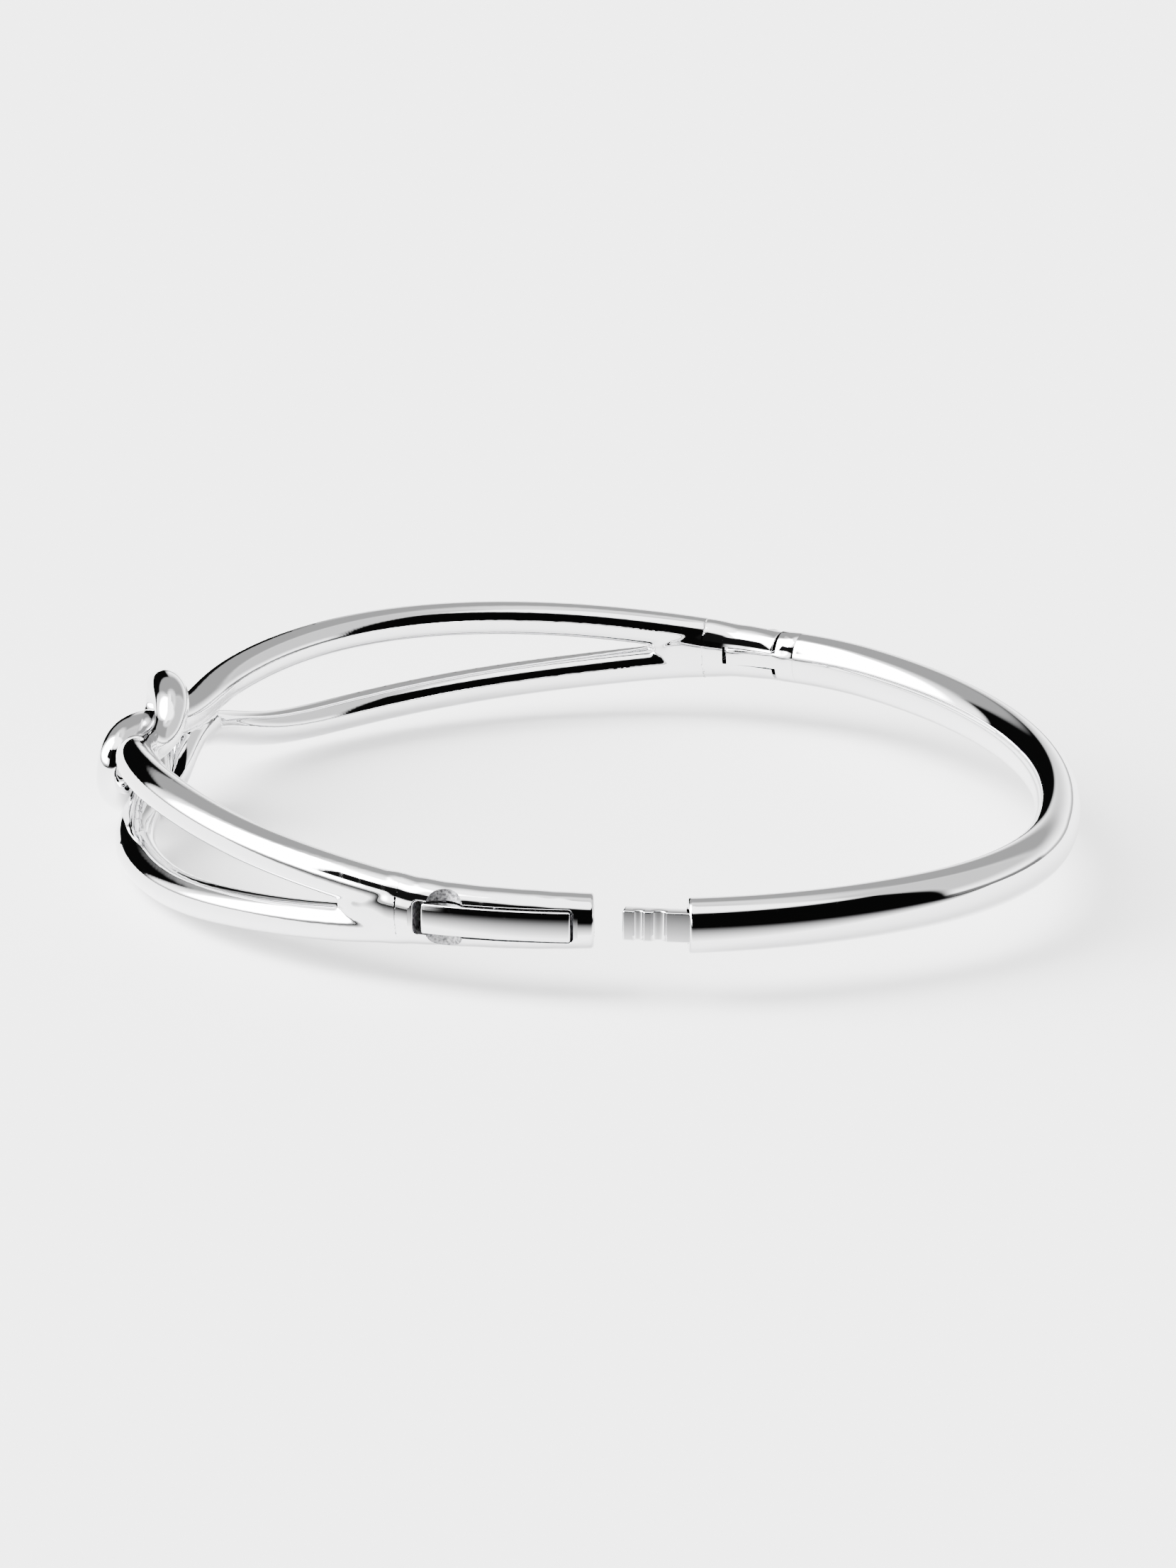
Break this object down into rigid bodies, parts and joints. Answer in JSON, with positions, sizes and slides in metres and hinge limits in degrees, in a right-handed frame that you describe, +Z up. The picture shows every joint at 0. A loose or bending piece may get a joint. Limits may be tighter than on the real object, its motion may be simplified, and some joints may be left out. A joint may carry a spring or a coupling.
{
  "type": "hinged bangle bracelet",
  "caption": "Rigid oval hinged bangle with interlinked open loops in front, a plain tube behind, a pin hinge and a box clasp with a push lever.",
  "frame": {"origin": "middle of the bangle's box as it stands, slightly open", "axes": "+Z up, square to the plane of the oval; -X towards the knot, +X towards the plain back, +Y towards the hinge, -Y towards the clasp"},
  "size_m": [0.0638, 0.063, 0.01],
  "materials": {
    "polished_silver": "mirror polished, rhodium plated silver",
    "steel_pin": "polished wire",
    "spring_steel": "rolled spring strip"
  },
  "bodies": {
    "front_half": {"hinge_side_loop": "polished_silver", "clasp_side_loop": "polished_silver", "hinge_fork": "polished_silver", "hinge_pin": "steel_pin", "clasp_box": "polished_silver", "lever_pin": "steel_pin", "lever_spring": "spring_steel"},
    "rear_half": {"rear_band": "polished_silver", "hinge_knuckle": "polished_silver", "clasp_tongue": "polished_silver"},
    "lever": {"latch_lever": "polished_silver"}
  },
  "joints": [
    {"name": "main_hinge", "type": "hinge", "parent": "front_half", "child": "rear_half", "pos_m": [0.01798, 0.02629, 0.00007], "axis": [0, 0, 1], "range_deg": [-5.75, 48]},
    {"name": "lever_pivot", "type": "hinge", "parent": "front_half", "child": "lever", "pos_m": [-0.01114, -0.02677, 0.00007], "axis": [0, 0, -1], "range_deg": [0, 6], "stiffness_Nm_per_rad": 0.01, "deforming": ["lever_spring"]}
  ]
}
